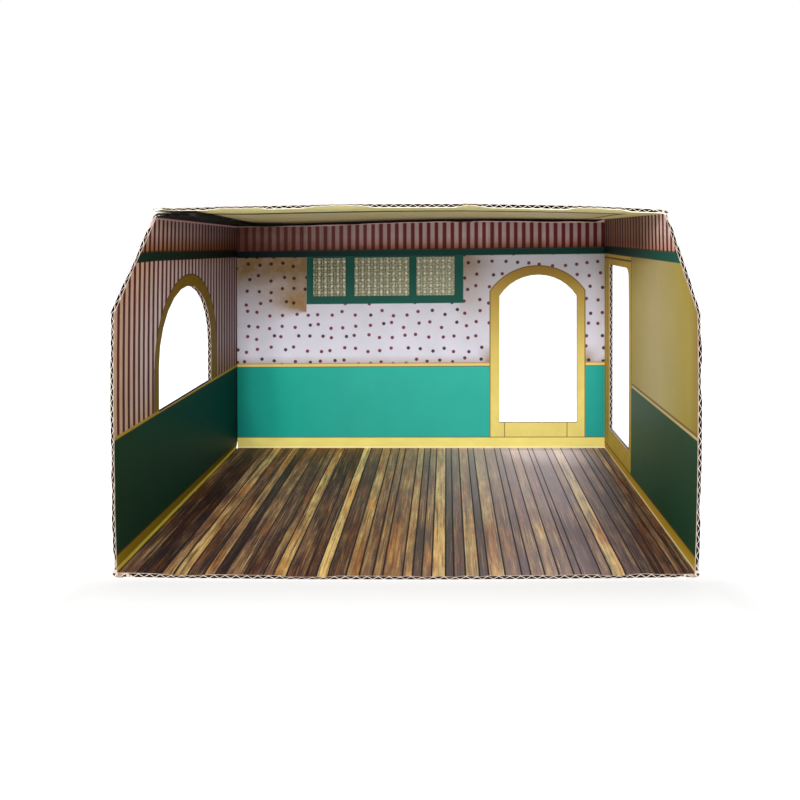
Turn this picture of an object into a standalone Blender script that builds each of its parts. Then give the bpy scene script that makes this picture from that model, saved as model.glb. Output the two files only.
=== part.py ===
"""A one-room dollhouse folded from a single die-cut sheet of printed corrugated board, open at the front.

The sheet is a strip of glue tab, left wall, floor, right wall and roof. The back wall folds up
from the floor, and glue flaps on the walls and the roof close the box behind it.
Metres, +Z up. The open front faces -Y, and the origin lies under the middle of the box.
"""

import math

import bmesh
import bpy
from mathutils import Matrix, Vector

# Room, measured between the printed faces
ROOM_WIDTH = 0.350
ROOM_DEPTH = 0.240
ROOM_HEIGHT = 0.218
BACK_WALL_GAP = 0.0005  # between the back wall's free top edge and the glue tab
DADO_HEIGHT = 0.080

# Corrugated board
BOARD = 0.0031
LINER = 0.0004
MEDIUM = 0.0004  # fluted paper over the tip of a void
CREST = 0.0005  # width that a flute's crest is glued to its liner
FLUTE_PITCH = 0.0066
FOLD_RADIUS = 0.0008  # on the inside of a fold
FOLD_STEPS = 3
FOLD_MARGIN = 0.003  # board beside a fold whose flutes are pressed shut

# Upper front corners, cut away in a slant
KNEE_HEIGHT = 0.157
ROOF_SETBACK = 0.059

# Glue joints
GLUE_GAP = 0.0003
TAB_FRONT_WIDTH = 0.0276
TAB_REAR_WIDTH = 0.0180
TAB_THICKNESS = 0.0021
ROOF_TIP = 0.0015  # thickness that the roof's glued end is pressed to, at its front corner
ROOF_PRESSED = 0.060  # length over which the roof thins to its tip
FLAP_WIDTH = 0.022
FLAP_TAPER = 0.010  # at the lower end of a wall flap
CORNER_RELIEF = 0.006  # notch where two folds would meet

# How the folded board has set
ROOF_BOW = 0.0037  # upwards, at the middle of the roof's front edge
WALL_BOW = 0.0020  # outwards, at the middle of a wall's front edge
BOW_STEPS = 8
DEPTH_STEPS = 3
REAR_LEFT_SINK = 0.005  # the box's top rear left corner has sunk

# Arched window in the left wall
WINDOW_SETBACK = 0.065
WINDOW_WIDTH = 0.105
WINDOW_SILL = 0.080
WINDOW_SIDE = 0.032  # straight part of each side, below the half-round head

# Arched doorway in the back wall
DOORWAY_TO_RIGHT_WALL = 0.026
DOORWAY_WIDTH = 0.074
DOORWAY_SILL = 0.0245
DOORWAY_SIDE = 0.1205
DOORWAY_RISE = 0.0203  # of its shallow arch

# Tall doorway in the right wall
SIDE_DOOR_SETBACK = 0.1545
SIDE_DOOR_WIDTH = 0.066
SIDE_DOOR_SILL = 0.024
SIDE_DOOR_HEIGHT = 0.152
SIDE_DOOR_CORNER = 0.008  # round upper front corner
ARC_STEPS = 12

# Places that follow from the sizes
HALF = ROOM_WIDTH / 2
FOLD_X = HALF - FOLD_RADIUS
OVERALL_DEPTH = ROOM_DEPTH + 2 * BOARD + GLUE_GAP
FRONT = -OVERALL_DEPTH / 2
BACK = FRONT + ROOM_DEPTH
FLOOR_REAR = BACK - FOLD_RADIUS
FLAP_FACE = BACK + BOARD + GLUE_GAP
WALL_REAR = FLAP_FACE - FOLD_RADIUS
ROOF_FRONT = FRONT + ROOF_SETBACK
ROOF_LEFT = -HALF - BOARD
FLOOR_TOP = BOARD
CEILING = FLOOR_TOP + ROOM_HEIGHT
PAST = 0.010  # how far a cutter runs past what it cuts
NEAR = 1e-6
GRID = 2**-20  # about a micrometre: points are set on this grid, so that flat faces are exactly flat
FLAT_ANGLE = math.radians(0.02)

TAB_SEAT = (BOARD - ROOF_TIP) * (1 - (BOARD + TAB_FRONT_WIDTH) / ROOF_PRESSED)
TAB_UNDERSIDE = CEILING + TAB_SEAT - GLUE_GAP - TAB_THICKNESS

MATERIALS = {
    "bare_board": ((0.80, 0.76, 0.74), 0.85),
    "floor_print": ((0.09, 0.045, 0.025), 0.45),
    "dado_print": ((0.01, 0.16, 0.11), 0.5),
    "paper_print": ((0.55, 0.47, 0.45), 0.6),
    "roof_print": ((0.55, 0.50, 0.22), 0.6),
}
BARE, FLOOR, DADO, PAPER, ROOF = range(len(MATERIALS))


def clear_scene():
    for obj in list(bpy.data.objects):
        bpy.data.objects.remove(obj)


def new_collection(name):
    collection = bpy.data.collections.new(name)
    bpy.context.scene.collection.children.link(collection)
    return collection


def add_materials(mesh):
    for name, (colour, roughness) in MATERIALS.items():
        material = bpy.data.materials.new(name)
        material.use_nodes = True
        shader = material.node_tree.nodes["Principled BSDF"]
        shader.inputs["Base Color"].default_value = (*colour, 1)
        shader.inputs["Roughness"].default_value = roughness
        shader.inputs["Metallic"].default_value = 0
        mesh.materials.append(material)


def hump(at, low, high):
    """1 halfway between low and high, and 0 at both."""
    share = (at - low) / (high - low)
    return 4 * share * (1 - share)


def slack(y, full_at):
    """How freely the board bows at a depth: 1 at full_at, and 0 where the rear folds hold it."""
    return (WALL_REAR - y) / (WALL_REAR - full_at)


def roof_thinning(x):
    """What the roof has lost of its thickness, pressed down on the glue tab."""
    return (BOARD - ROOF_TIP) * max(0.0, 1 - (x - ROOF_LEFT) / ROOF_PRESSED)


def thickness_left(x):
    """The share of the board's thickness that the roof and its flap keep."""
    return 1 - roof_thinning(x) / BOARD


def shape_roof(point):
    """Bows a point of the flat roof's printed face, and lifts it where the roof is thinned."""
    x, y, z = point
    bow = ROOF_BOW * hump(x, ROOF_LEFT, FOLD_X) * slack(y, ROOF_FRONT)
    return Vector((x, y, z + bow + roof_thinning(x)))


def shape_wall(point):
    """Bows a point of a side wall outwards."""
    x, y, z = point
    height = min(max(z, FLOOR_TOP), CEILING)
    bow = WALL_BOW * hump(height, FLOOR_TOP, CEILING) * slack(y, FRONT)
    return Vector((x + math.copysign(bow, x), y, z))


def settle(point):
    """Sinks what lies towards the top rear left corner."""
    x, y, z = point
    leftwards = (FOLD_X - x) / (FOLD_X - ROOF_LEFT)
    upwards = max(0.0, z - FLOOR_TOP) / ROOM_HEIGHT
    return Vector((x, y, z - REAR_LEFT_SINK * leftwards * upwards * (1 - slack(y, ROOF_FRONT))))


def on_grid(point):
    return Vector(round(value / GRID) * GRID for value in point)


def extrude(bm, edges, material):
    """Grows a row of faces from edges, and returns the new edges and their points."""
    grown = bmesh.ops.extrude_edge_only(bm, edges=edges)["geom"]
    for face in grown:
        if isinstance(face, bmesh.types.BMFace):
            face.material_index = material
    verts = [item for item in grown if isinstance(item, bmesh.types.BMVert)]
    moved = set(verts)
    edges = [
        item
        for item in grown
        if isinstance(item, bmesh.types.BMEdge) and moved.issuperset(item.verts)
    ]
    return edges, verts


def fold(bm, edges, pivot, axis, material):
    """Bends the sheet by a right angle at edges, round a pivot."""
    turn = Matrix.Rotation(math.pi / 2 / FOLD_STEPS, 3, Vector(axis))
    for _ in range(FOLD_STEPS):
        edges, verts = extrude(bm, edges, material)
        bmesh.ops.rotate(bm, cent=pivot, matrix=turn, verts=verts)
    return edges


def run_on(bm, edges, axis, places, material):
    """Carries the sheet on flat from edges to each place along an axis."""
    points = []
    for place in places:
        edges, verts = extrude(bm, edges, material)
        for vert in verts:
            vert.co[axis] = place
        points += verts
    return edges, points


def edges_where(bm, test):
    return [edge for edge in bm.edges if all(test(vert.co) for vert in edge.verts)]


def spaced(start, end, count):
    return [start + (end - start) * (step + 1) / count for step in range(count)]


def add_floor(bm):
    middle = (FRONT + FLOOR_REAR) / 2
    grid = bmesh.ops.create_grid(bm, x_segments=1, y_segments=DEPTH_STEPS, size=1)
    for vert in grid["verts"]:
        half_depth = vert.co.y * (FLOOR_REAR - FRONT) / 2
        vert.co = (vert.co.x * FOLD_X, middle + half_depth, FLOOR_TOP)
    for face in bm.faces:
        face.material_index = FLOOR


def add_wall(bm, side, top):
    """Folds a side wall up from the floor, and returns its upper edges and its points."""
    edges = edges_where(bm, lambda co: abs(co.x - side * FOLD_X) < NEAR)
    edges = fold(bm, edges, (side * FOLD_X, 0, FLOOR_TOP + FOLD_RADIUS), (0, -side, 0), DADO)
    dado = FLOOR_TOP + DADO_HEIGHT
    relief = FLOOR_TOP + FOLD_RADIUS + CORNER_RELIEF
    upper_relief = top - FOLD_RADIUS - CORNER_RELIEF
    lower_steps = max(1, round(BOW_STEPS * DADO_HEIGHT / ROOM_HEIGHT))
    edges, points = run_on(bm, edges, 2, [relief, *spaced(relief, dado, lower_steps)], DADO)
    heights = [*spaced(dado, upper_relief, BOW_STEPS - lower_steps), top - FOLD_RADIUS]
    edges, more = run_on(bm, edges, 2, heights, PAPER)
    return edges, points + more


def add_tab(bm, edges):
    """Folds the glue tab over from the left wall's top, and returns its points with the fold's."""
    before = set(bm.verts)
    edges = fold(bm, edges, (-FOLD_X, 0, TAB_UNDERSIDE - FOLD_RADIUS), (0, 1, 0), BARE)
    edges, points = run_on(bm, edges, 0, [-HALF + TAB_FRONT_WIDTH], BARE)
    for vert in points:
        to_rear = max(0.0, (vert.co.y - ROOF_FRONT) / (FLOOR_REAR - ROOF_FRONT))
        vert.co.x += (TAB_REAR_WIDTH - TAB_FRONT_WIDTH) * to_rear
    return set(bm.verts) - before


def add_roof(bm, edges):
    """Folds the roof over from the right wall's top, to lie across the box, and returns its points."""
    edges = fold(bm, edges, (FOLD_X, 0, CEILING - FOLD_RADIUS), (0, -1, 0), ROOF)
    pressed = ROOF_LEFT + ROOF_PRESSED
    places = [*spaced(FOLD_X, pressed, BOW_STEPS - 2), *spaced(pressed, ROOF_LEFT, 2)]
    return run_on(bm, edges, 0, places, ROOF)[1]


def lengthen_upper_rear(bm):
    """Carries the walls and the roof on past the back wall, which leaves a notch over the floor."""
    for vert in bm.verts:
        above_notch = vert.co.z > FLOOR_TOP + FOLD_RADIUS + CORNER_RELIEF - NEAR
        if above_notch and abs(vert.co.y - FLOOR_REAR) < NEAR:
            vert.co.y = WALL_REAR


def add_back_wall(bm):
    """Folds the back wall up from the floor."""
    edges = edges_where(
        bm, lambda co: abs(co.y - FLOOR_REAR) < NEAR and abs(co.z - FLOOR_TOP) < NEAR
    )
    edges = fold(bm, edges, (0, FLOOR_REAR, FLOOR_TOP + FOLD_RADIUS), (1, 0, 0), DADO)
    edges, _ = run_on(bm, edges, 2, [FLOOR_TOP + DADO_HEIGHT], DADO)
    run_on(bm, edges, 2, [TAB_UNDERSIDE - BACK_WALL_GAP], PAPER)


def add_wall_flap(bm, side, top):
    """Folds a glue flap from a wall's rear edge in behind the back wall."""
    low = FLOOR_TOP + FOLD_RADIUS + CORNER_RELIEF
    high = top - FOLD_RADIUS - CORNER_RELIEF
    edges = edges_where(
        bm,
        lambda co: abs(co.x - side * HALF) < NEAR
        and abs(co.y - WALL_REAR) < NEAR
        and low - NEAR < co.z < high + NEAR,
    )
    edges = fold(bm, edges, (side * FOLD_X, WALL_REAR, 0), (0, 0, side), BARE)
    _, points = run_on(bm, edges, 0, [side * (HALF - FLAP_WIDTH)], BARE)
    for vert in points:
        share = (vert.co.z - low) / (high - low)
        vert.co.z = low + FLAP_TAPER + share * (high - low - FLAP_TAPER - FLAP_WIDTH)


def add_roof_flap(bm):
    """Folds a glue flap from the roof's rear edge down behind the back wall, and returns its points."""
    before = set(bm.verts)
    edges = edges_where(
        bm,
        lambda co: abs(co.z - CEILING) < NEAR
        and abs(co.y - WALL_REAR) < NEAR
        and co.x < FOLD_X + NEAR,
    )
    edges = fold(bm, edges, (0, WALL_REAR, CEILING - FOLD_RADIUS), (-1, 0, 0), BARE)
    _, points = run_on(bm, edges, 2, [CEILING - FLAP_WIDTH], BARE)
    middle = (ROOF_LEFT + FOLD_X) / 2
    half = (FOLD_X - ROOF_LEFT) / 2
    for vert in points:
        vert.co.x = middle + (vert.co.x - middle) * (half - BOARD - FLAP_WIDTH) / half
    return set(bm.verts) - before


def flatten_faces(bm):
    """Splits bowed faces where they bend, and joins neighbours that lie in one plane."""
    bmesh.ops.connect_verts_nonplanar(bm, angle_limit=FLAT_ANGLE, faces=bm.faces)
    bmesh.ops.dissolve_limit(
        bm, angle_limit=FLAT_ANGLE, verts=bm.verts, edges=bm.edges, delimit={"MATERIAL"}
    )


def apply_with_flat_faces(obj):
    """Makes an object's modifiers part of its mesh."""
    bpy.context.view_layer.update()
    mesh = bpy.data.meshes.new_from_object(obj.evaluated_get(bpy.context.evaluated_depsgraph_get()))
    obj.modifiers.clear()
    obj.data = mesh
    bm = bmesh.new()
    bm.from_mesh(mesh)
    for vert in bm.verts:
        if abs(vert.co.y - FRONT) < LINER:
            vert.co.y = FRONT
        vert.co = on_grid(vert.co)
    flatten_faces(bm)
    bm.to_mesh(mesh)
    bm.free()


def folded_sheet(collection):
    """The whole sheet: its printed face as one open surface, given the board's thickness outwards."""
    bm = bmesh.new()
    add_floor(bm)
    left_edges, left_points = add_wall(bm, -1, TAB_UNDERSIDE)
    right_edges, right_points = add_wall(bm, 1, CEILING)
    tab_points = add_tab(bm, left_edges)
    roof_points = add_roof(bm, right_edges)
    lengthen_upper_rear(bm)
    add_back_wall(bm)
    add_wall_flap(bm, -1, TAB_UNDERSIDE)
    add_wall_flap(bm, 1, CEILING)
    roof_flap_points = add_roof_flap(bm)

    thickness = {vert: TAB_THICKNESS / BOARD for vert in tab_points}
    for vert in [*roof_points, *roof_flap_points]:
        thickness[vert] = thickness_left(vert.co.x)
    for vert in roof_flap_points:
        vert.co.z += roof_thinning(vert.co.x)
    for vert in roof_points:
        vert.co = shape_roof(vert.co)
    for vert in left_points + right_points:
        vert.co = shape_wall(vert.co)
    for vert in bm.verts:
        vert.co = settle(vert.co)
    bm.verts.index_update()
    weights = [thickness.get(vert, 1.0) for vert in bm.verts]

    bmesh.ops.recalc_face_normals(bm, faces=bm.faces)
    floor = min(bm.faces, key=lambda face: face.calc_center_median().z)
    if floor.normal.z < 0:
        bmesh.ops.reverse_faces(bm, faces=bm.faces)

    mesh = bpy.data.meshes.new("folded_sheet")
    bm.to_mesh(mesh)
    bm.free()
    add_materials(mesh)
    sheet = bpy.data.objects.new("folded_sheet", mesh)
    collection.objects.link(sheet)
    group = sheet.vertex_groups.new(name="thickness")
    for index, weight in enumerate(weights):
        group.add([index], weight, "REPLACE")

    wall = sheet.modifiers.new("board", "SOLIDIFY")
    wall.thickness = BOARD
    wall.offset = -1
    wall.use_even_offset = True
    wall.vertex_group = group.name
    wall.material_offset = -len(MATERIALS)
    wall.material_offset_rim = -len(MATERIALS)
    apply_with_flat_faces(sheet)
    return sheet


def new_cutter(name, collection, bm):
    """An object that only cuts, from closed shapes."""
    for vert in bm.verts:
        vert.co = on_grid(vert.co)
    bmesh.ops.recalc_face_normals(bm, faces=bm.faces)
    mesh = bpy.data.meshes.new(name)
    bm.to_mesh(mesh)
    bm.free()
    cutter = bpy.data.objects.new(name, mesh)
    cutter.hide_render = True
    cutter.display_type = "WIRE"
    collection.objects.link(cutter)
    return cutter


def extruded(name, collection, outlines, corner, across, out, near, far):
    """A cutter: flat outlines in the plane of across and out, carried along across x out."""
    across, out = Vector(across), Vector(out)
    run = across.cross(out)
    curve = bpy.data.curves.new(name, "CURVE")
    curve.dimensions = "2D"
    curve.fill_mode = "BOTH"
    curve.extrude = (far - near) / 2
    for outline in outlines:
        spline = curve.splines.new("POLY")
        spline.points.add(len(outline) - 1)
        for point, (a, b) in zip(spline.points, outline):
            point.co = (a, b, 0, 1)
        spline.use_cyclic_u = True
    drawn = bpy.data.objects.new(name, curve)
    drawn.matrix_world = Matrix.Translation(Vector(corner) + run * (near + far) / 2) @ Matrix(
        (across, out, run)
    ).transposed().to_4x4()
    collection.objects.link(drawn)
    bpy.context.view_layer.update()
    evaluated = drawn.evaluated_get(bpy.context.evaluated_depsgraph_get())
    mesh = bpy.data.meshes.new_from_object(evaluated)
    mesh.transform(drawn.matrix_world)
    bpy.data.objects.remove(drawn)
    bm = bmesh.new()
    bm.from_mesh(mesh)
    bmesh.ops.remove_doubles(bm, verts=bm.verts, dist=NEAR)
    return new_cutter(name, collection, bm)


def flute_voids(width):
    """The hollows between liners and fluted paper, over a width: the middle of each, and its corners
    as (distance from the middle, distance from the printed face). They point in and out by turns."""
    count = int((width - 2 * FOLD_MARGIN) / FLUTE_PITCH)
    first = (width - count * FLUTE_PITCH) / 2
    half_base = (FLUTE_PITCH - CREST) / 2
    tip = BOARD - LINER - MEDIUM
    for half_flute in range(2 * count - 1):
        base, point = (LINER, tip) if half_flute % 2 == 0 else (BOARD - LINER, BOARD - tip)
        corners = [(-half_base, base), (half_base, base), (0, point)]
        yield first + (half_flute + 1) * FLUTE_PITCH / 2, corners


def flutes(name, cutters, corner, across, out, width, near, far, shape=None, share=None):
    """Cutter for the flutes of one panel, which run along across x out from near to far. Each is a
    straight hollow that follows the set of its panel at both ends."""

    def placed(along_width, along_run):
        point = corner + across * along_width + run * along_run
        return settle(shape(point) if shape else point)

    corner, across, out = Vector(corner), Vector(across), Vector(out)
    run = across.cross(out)
    beside = FLUTE_PITCH / 2
    bm = bmesh.new()
    for middle, corners in flute_voids(width):
        halfway = (near + far) / 2
        lean = placed(middle + beside, halfway) - placed(middle - beside, halfway)
        start = placed(middle, near)
        kept = share((corner + across * middle).x) if share else 1
        section = [
            bm.verts.new(on_grid(start + lean * aside / (2 * beside) + out * through * kept))
            for aside, through in corners
        ]
        grown = bmesh.ops.extrude_face_region(bm, geom=[bm.faces.new(section)])["geom"]
        far_verts = [item for item in grown if isinstance(item, bmesh.types.BMVert)]
        along = on_grid(placed(middle, far) - start)
        bmesh.ops.translate(bm, vec=along, verts=far_verts)
    return new_cutter(name, cutters, bm)


def strip_flutes(cutters):
    """Flutes of the floor, the walls, the roof and the tab. They run from the open front to the rear folds."""
    open_end = FRONT - PAST
    wall_end = WALL_REAR - FOLD_MARGIN
    return [
        flutes(
            "floor_flutes", cutters, (-FOLD_X, 0, FLOOR_TOP), (1, 0, 0), (0, 0, -1),
            2 * FOLD_X, open_end, FLOOR_REAR - FOLD_MARGIN,
        ),
        flutes(
            "left_wall_flutes", cutters, (-HALF, 0, TAB_UNDERSIDE), (0, 0, -1), (-1, 0, 0),
            TAB_UNDERSIDE - FLOOR_TOP, open_end, wall_end, shape_wall,
        ),
        flutes(
            "right_wall_flutes", cutters, (HALF, 0, FLOOR_TOP), (0, 0, 1), (1, 0, 0),
            ROOM_HEIGHT, open_end, wall_end, shape_wall,
        ),
        flutes(
            "roof_flutes", cutters, (FOLD_X, 0, CEILING), (-1, 0, 0), (0, 0, 1),
            FOLD_X - ROOF_LEFT, open_end, wall_end, shape_roof, thickness_left,
        ),
        flutes(
            "tab_flutes", cutters, (-HALF + TAB_FRONT_WIDTH, 0, TAB_UNDERSIDE), (-1, 0, 0),
            (0, 0, 1), TAB_FRONT_WIDTH, open_end, WALL_REAR + GLUE_GAP, None,
            lambda x: TAB_THICKNESS / BOARD,
        ),
    ]


def rear_flutes(cutters):
    """Flutes of the back wall and the glue flaps. They open at the edges that they meet squarely."""
    fold_end = FOLD_RADIUS + FOLD_MARGIN
    flap_ends = (fold_end - HALF, FLAP_WIDTH - HALF + PAST)
    low = FLOOR_TOP + FOLD_RADIUS + CORNER_RELIEF + FLAP_TAPER
    left_high = TAB_UNDERSIDE - FOLD_RADIUS - CORNER_RELIEF - FLAP_WIDTH
    right_high = CEILING - FOLD_RADIUS - CORNER_RELIEF - FLAP_WIDTH
    taper = BOARD + FLAP_WIDTH
    return [
        flutes(
            "back_wall_flutes", cutters, (-FOLD_X, BACK, 0), (1, 0, 0), (0, 1, 0),
            2 * FOLD_X, FLOOR_TOP + fold_end, TAB_UNDERSIDE - BACK_WALL_GAP / 2,
        ),
        flutes(
            "left_flap_flutes", cutters, (0, FLAP_FACE, left_high), (0, 0, -1), (0, 1, 0),
            left_high - low, *flap_ends,
        ),
        flutes(
            "right_flap_flutes", cutters, (0, FLAP_FACE, low), (0, 0, 1), (0, 1, 0),
            right_high - low, *flap_ends,
        ),
        flutes(
            "roof_flap_flutes", cutters, (FOLD_X - taper, FLAP_FACE, 0), (-1, 0, 0), (0, 1, 0),
            FOLD_X - ROOF_LEFT - 2 * taper, fold_end - CEILING, FLAP_WIDTH - CEILING + PAST,
            None, thickness_left,
        ),
    ]


def arc(middle, radius, start, end):
    """Points of an arc from one angle to another, in degrees."""
    angles = [start + (end - start) * step / ARC_STEPS for step in range(ARC_STEPS + 1)]
    return [
        (
            middle[0] + radius * math.cos(math.radians(angle)),
            middle[1] + radius * math.sin(math.radians(angle)),
        )
        for angle in angles
    ]


def front_slant(cutters):
    """Takes away the upper front corners of the walls and sets the roof back."""
    knee = FLOOR_TOP + KNEE_HEIGHT
    slope = (CEILING - knee) / ROOF_SETBACK
    outline = [
        (FRONT - PAST, knee - PAST * slope),
        (ROOF_FRONT, CEILING),
        (ROOF_FRONT, CEILING + 2 * PAST),
        (FRONT - PAST, CEILING + 2 * PAST),
    ]
    reach = HALF + BOARD + PAST
    return extruded(
        "front_slant", cutters, [outline], (0, 0, 0), (0, 1, 0), (0, 0, 1), -reach, reach
    )


def window_opening(cutters):
    radius = WINDOW_WIDTH / 2
    near, far = FRONT + WINDOW_SETBACK, FRONT + WINDOW_SETBACK + WINDOW_WIDTH
    sill = FLOOR_TOP + WINDOW_SILL
    head = arc(((near + far) / 2, sill + WINDOW_SIDE), radius, 0, 180)
    outline = [(near, sill), (far, sill), *head]
    return extruded(
        "window_opening", cutters, [outline], (0, 0, 0), (0, 1, 0), (0, 0, 1),
        -HALF - BOARD - PAST, -HALF + PAST,
    )


def doorway_opening(cutters):
    right = HALF - DOORWAY_TO_RIGHT_WALL
    left = right - DOORWAY_WIDTH
    sill = FLOOR_TOP + DOORWAY_SILL
    spring = sill + DOORWAY_SIDE
    half = DOORWAY_WIDTH / 2
    radius = (half**2 + DOORWAY_RISE**2) / (2 * DOORWAY_RISE)
    reach = math.degrees(math.asin(half / radius))
    head = arc(((left + right) / 2, spring + DOORWAY_RISE - radius), radius, 90 - reach, 90 + reach)
    outline = [(left, sill), (right, sill), *head]
    return extruded(
        "doorway_opening", cutters, [outline], (0, 0, 0), (1, 0, 0), (0, 0, 1),
        -FLAP_FACE - BOARD - PAST, -BACK + PAST,
    )


def side_door_opening(cutters):
    near = FRONT + SIDE_DOOR_SETBACK
    far = near + SIDE_DOOR_WIDTH
    sill = FLOOR_TOP + SIDE_DOOR_SILL
    head = sill + SIDE_DOOR_HEIGHT
    corner = arc(
        (near + SIDE_DOOR_CORNER, head - SIDE_DOOR_CORNER), SIDE_DOOR_CORNER, 90, 180
    )
    outline = [(near, sill), (far, sill), (far, head), *corner]
    return extruded(
        "side_door_opening", cutters, [outline], (0, 0, 0), (0, 1, 0), (0, 0, 1),
        HALF - PAST, HALF + BOARD + PAST,
    )


def cut(obj, cutter):
    difference = obj.modifiers.new(cutter.name, "BOOLEAN")
    difference.operation = "DIFFERENCE"
    difference.solver = "EXACT"
    difference.object = cutter


def main():
    clear_scene()
    dollhouse = new_collection("cardboard_dollhouse")
    cutters = new_collection("cutters")
    sheet = folded_sheet(dollhouse)
    for cutter in (
        front_slant(cutters),
        window_opening(cutters),
        doorway_opening(cutters),
        side_door_opening(cutters),
        *strip_flutes(cutters),
        *rear_flutes(cutters),
    ):
        cut(sheet, cutter)


main()
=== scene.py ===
"""Looks of a dollhouse room folded from one printed sheet of corrugated board."""

import math

import bpy
import numpy as np
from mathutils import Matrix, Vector, noise

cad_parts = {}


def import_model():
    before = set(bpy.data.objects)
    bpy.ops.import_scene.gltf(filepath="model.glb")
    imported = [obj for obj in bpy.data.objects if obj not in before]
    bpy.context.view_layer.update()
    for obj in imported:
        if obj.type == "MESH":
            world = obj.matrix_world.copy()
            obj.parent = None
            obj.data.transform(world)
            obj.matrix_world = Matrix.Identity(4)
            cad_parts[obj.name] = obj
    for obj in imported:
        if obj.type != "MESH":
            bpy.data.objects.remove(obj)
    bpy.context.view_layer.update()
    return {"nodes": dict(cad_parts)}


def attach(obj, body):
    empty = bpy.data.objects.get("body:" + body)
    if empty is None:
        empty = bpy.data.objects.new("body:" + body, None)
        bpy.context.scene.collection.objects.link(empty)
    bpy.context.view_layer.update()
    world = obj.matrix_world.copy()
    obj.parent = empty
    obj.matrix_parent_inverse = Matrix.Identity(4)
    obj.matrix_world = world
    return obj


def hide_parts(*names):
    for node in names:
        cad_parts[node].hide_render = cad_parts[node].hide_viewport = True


# The room, in metres
HALF = 0.175
FRONT = -0.12325
DEPTH = 0.240
BACK = FRONT + DEPTH
FLOOR_TOP = 0.0031
ROOM_HEIGHT = 0.218
CEILING = FLOOR_TOP + ROOM_HEIGHT
BOARD = 0.0031
KNEE = FLOOR_TOP + 0.157
ROOF_SETBACK = 0.059
ROOF_FRONT = FRONT + ROOF_SETBACK
ROOF_LEFT = -HALF - BOARD
REAR = 0.11935
SINK = 0.005
ROOF_BOW = 0.0037
WALL_BOW = 0.0020
ROOF_PRESSED = 0.060
ROOF_LOST = 0.0016
TAB_END = -0.14

# Printed heights on the walls, in millimetres over the floor
DADO = 80
BAND_LOW, BAND_HIGH = 185.2, 191.4
SKIRTING = 10.5

# Printed places behind the open front and across the room, in millimetres
DOOR_TRIM = 147.0
BORDER_REAR = 90.0
BORDER_RIGHT = 157.0

# Floor planks from left to right: the width of each in millimetres, and how light its wood is
PLANKS = (
    (12, 1), (5, 0), (10, 0), (7.5, 2), (8.5, 3), (10, 1), (7, 3), (6, 0), (11.5, 2), (11.5, 1), (6, 2),
    (8, 3), (12, 1), (6, 1), (7, 4), (11, 1), (8, 3), (8, 2), (6, 2), (12, 2), (6, 3), (5.5, 1), (6, 2),
    (8.5, 4), (5, 0), (7, 1), (8.5, 3), (5.5, 0), (10, 3), (10, 2), (5.5, 1), (8.5, 2), (8.5, 3), (9, 2),
    (4.5, 1), (12, 1), (6.5, 2), (8.5, 4), (10, 1), (8.5, 1), (5, 0), (7.5, 1), (5, 2), (6, 1),
)
LIGHTEST = 4
SEAM = 1.1

# New edges in the board, in metres: rows behind the open front, and columns along the cut edges
EDGE_ROWS = (0.0012, 0.0035, 0.008)
EDGE_DEPTH = EDGE_ROWS[-1]
COLUMN_PITCH = 0.0033
WALL_TOP_STRIP = 0.009

# Along the roof, in millimetres from the room's middle: how far its cut front edge is pressed,
# and by how many millimetres its front edge and its rear stand higher
ROOF_EDGE_PRESSED = (
    (-179, 0.85), (-173, 0.75), (-167, 0.10), (-141, 0.10), (-131, 0.60), (-105, 0.60), (-100, 0.16),
    (-77, 0.18), (-62, 0.85), (-37, 0.85), (-24, 0.06), (30, 0.06), (38, 0.66), (44, 0.66), (55, 0.0),
    (107, 0.0), (115, 0.55), (145, 0.55), (152, 0.06), (170, 0.06), (179, 0.1),
)
ROOF_FRONT_RAISED = ((-179, 0.7), (-50, 0.7), (0, 1.0), (60, 1.2), (120, 1.2), (179, 0.7))
ROOF_REAR_RAISED = (
    (-179, 0.0), (-110, 0.1), (-60, 1.0), (-20, 1.9), (20, 2.2), (60, 2.0), (100, 1.3), (150, 0.2),
    (179, 0.0),
)

# How far the back wall's upper right corner is raised, and where that starts, in metres
CORNER_RAISED = 0.0022
CORNER_START = 0.166
CORNER_WIDTH = 0.008

# How much light the white floor gives off, around the object and in its shadow in front
STUDIO_GLOW = 0.80
STUDIO_GLOW_IN_FRONT = 0.30

# The camera's place to the right of the room's middle, before its open front and over its floor
CAMERA_ACROSS = 0.0245
CAMERA_BEFORE = 0.420
CAMERA_OVER = 0.2065

PALE_LINER = (0.74, 0.71, 0.68)
TORN_PAPER = (0.75, 0.66, 0.64)
# Near black: painted shade in the board's hollow fluting.
HOLLOW_PAINTED_SHADE = (0.030, 0.020, 0.017)
WHITE = (1, 1, 1)


# Node helpers


def new_material(name, roughness):
    material = bpy.data.materials.new(name)
    material.use_nodes = True
    shader = material.node_tree.nodes["Principled BSDF"]
    shader.inputs["Roughness"].default_value = roughness
    shader.inputs["Specular IOR Level"].default_value = 0.12
    shader.inputs["Metallic"].default_value = 0
    return material, material.node_tree, shader


def feed(tree, socket, value):
    if isinstance(value, bpy.types.NodeSocket):
        tree.links.new(value, socket)
    elif isinstance(value, tuple):
        socket.default_value = (*value, 1)
    else:
        socket.default_value = value


def calc(tree, operation, *values, clamp=False):
    node = tree.nodes.new("ShaderNodeMath")
    node.operation = operation
    node.use_clamp = clamp
    for socket, value in zip(node.inputs, values):
        feed(tree, socket, value)
    return node.outputs[0]


def joined_by(operation):
    """A function that joins two or more values, from left to right."""

    def join(tree, first, *others):
        for other in others:
            first = calc(tree, operation, first, other)
        return first

    return join


add, take, times, divide = (joined_by(kind) for kind in ("ADD", "SUBTRACT", "MULTIPLY", "DIVIDE"))
lower, upper = joined_by("MINIMUM"), joined_by("MAXIMUM")


def magnitude(tree, value):
    return calc(tree, "ABSOLUTE", value)


def to_and_fro(tree, value, turn=0.5):
    """Rises and falls evenly between 0 and the turn."""
    return calc(tree, "PINGPONG", value, turn)


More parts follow.
